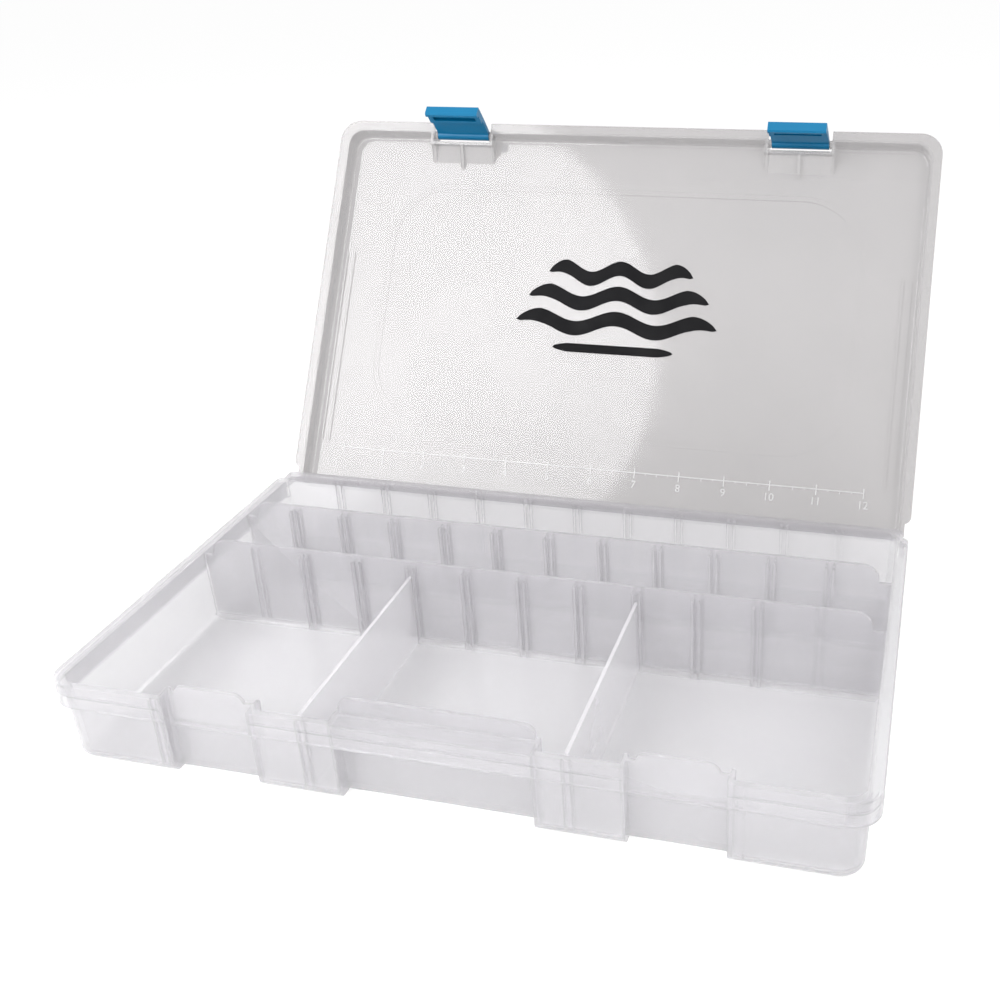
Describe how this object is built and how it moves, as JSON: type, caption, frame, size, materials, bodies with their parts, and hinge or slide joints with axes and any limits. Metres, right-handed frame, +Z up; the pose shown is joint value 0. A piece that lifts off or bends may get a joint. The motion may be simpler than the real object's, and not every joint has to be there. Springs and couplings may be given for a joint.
{
  "type": "tackle box",
  "caption": "Flat translucent storage box with a hinged lid, swinging clip latches, fixed channels and lift-out dividers.",
  "frame": {"origin": "middle of the tray's flat base", "axes": "+X along the length to the viewer's right, -Y to the front with the latches, +Z up"},
  "size_m": [0.3566, 0.3426, 0.2306],
  "materials": {
    "clear_tray": "gloss",
    "clear_lid": "gloss",
    "clear_divider": "gloss",
    "blue_latch": "gloss"
  },
  "bodies": {
    "tray": {"tray": "clear_tray", "hinge_web": "clear_tray"},
    "lid": {"lid": "clear_lid"},
    "latch_left": {"latch_left": "blue_latch"},
    "latch_right": {"latch_right": "blue_latch"},
    "divider_left": {"divider_left": "clear_divider"},
    "divider_right": {"divider_right": "clear_divider"}
  },
  "joints": [
    {"name": "lid_hinge", "type": "hinge", "parent": "tray", "child": "lid", "pos_m": [0, 0.1102, 0.0346], "axis": [-1, 0, 0], "range_deg": [-122, 0]},
    {"name": "latch_left_pivot", "type": "hinge", "parent": "lid", "child": "latch_left", "pos_m": [-0.1005, 0.2316, 0.21132], "axis": [-1, 0, 0], "range_deg": [-17, 121]},
    {"name": "latch_right_pivot", "type": "hinge", "parent": "lid", "child": "latch_right", "pos_m": [0.1005, 0.2316, 0.21132], "axis": [-1, 0, 0], "range_deg": [-4, 134]},
    {"name": "divider_left_lift", "type": "slide", "parent": "tray", "child": "divider_left", "axis": [0, 0, 1], "range_m": [0, 0.06]},
    {"name": "divider_right_lift", "type": "slide", "parent": "tray", "child": "divider_right", "axis": [0, 0, 1], "range_m": [0, 0.06]}
  ]
}
